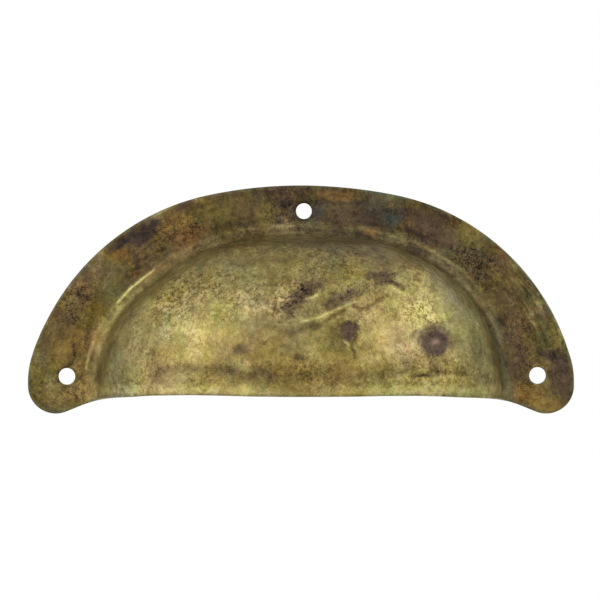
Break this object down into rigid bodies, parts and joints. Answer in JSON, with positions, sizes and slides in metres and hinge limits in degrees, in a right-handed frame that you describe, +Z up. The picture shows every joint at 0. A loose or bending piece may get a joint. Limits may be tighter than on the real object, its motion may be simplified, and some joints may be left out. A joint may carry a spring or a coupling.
{
  "type": "cabinet handle",
  "caption": "Half-round cup pull pressed from one brass sheet: domed finger cup open at the bottom, flat arched flange, rounded tabs, plain screw holes, worn patina.",
  "frame": {"origin": "midway between the centres of the two side screw holes, on the flat back of the flange", "axes": "as mounted on an upright drawer front: +X to the right seen from the front, +Y into the drawer front, so the cup stands out towards -Y, +Z up"},
  "size_m": [0.1, 0.021, 0.0419],
  "materials": {
    "aged_brass": "old olive-brown patina, mottled and stained, rubbed bright on the dome and lip"
  },
  "bodies": {
    "root": {"cup_handle": "aged_brass"}
  },
  "joints": []
}
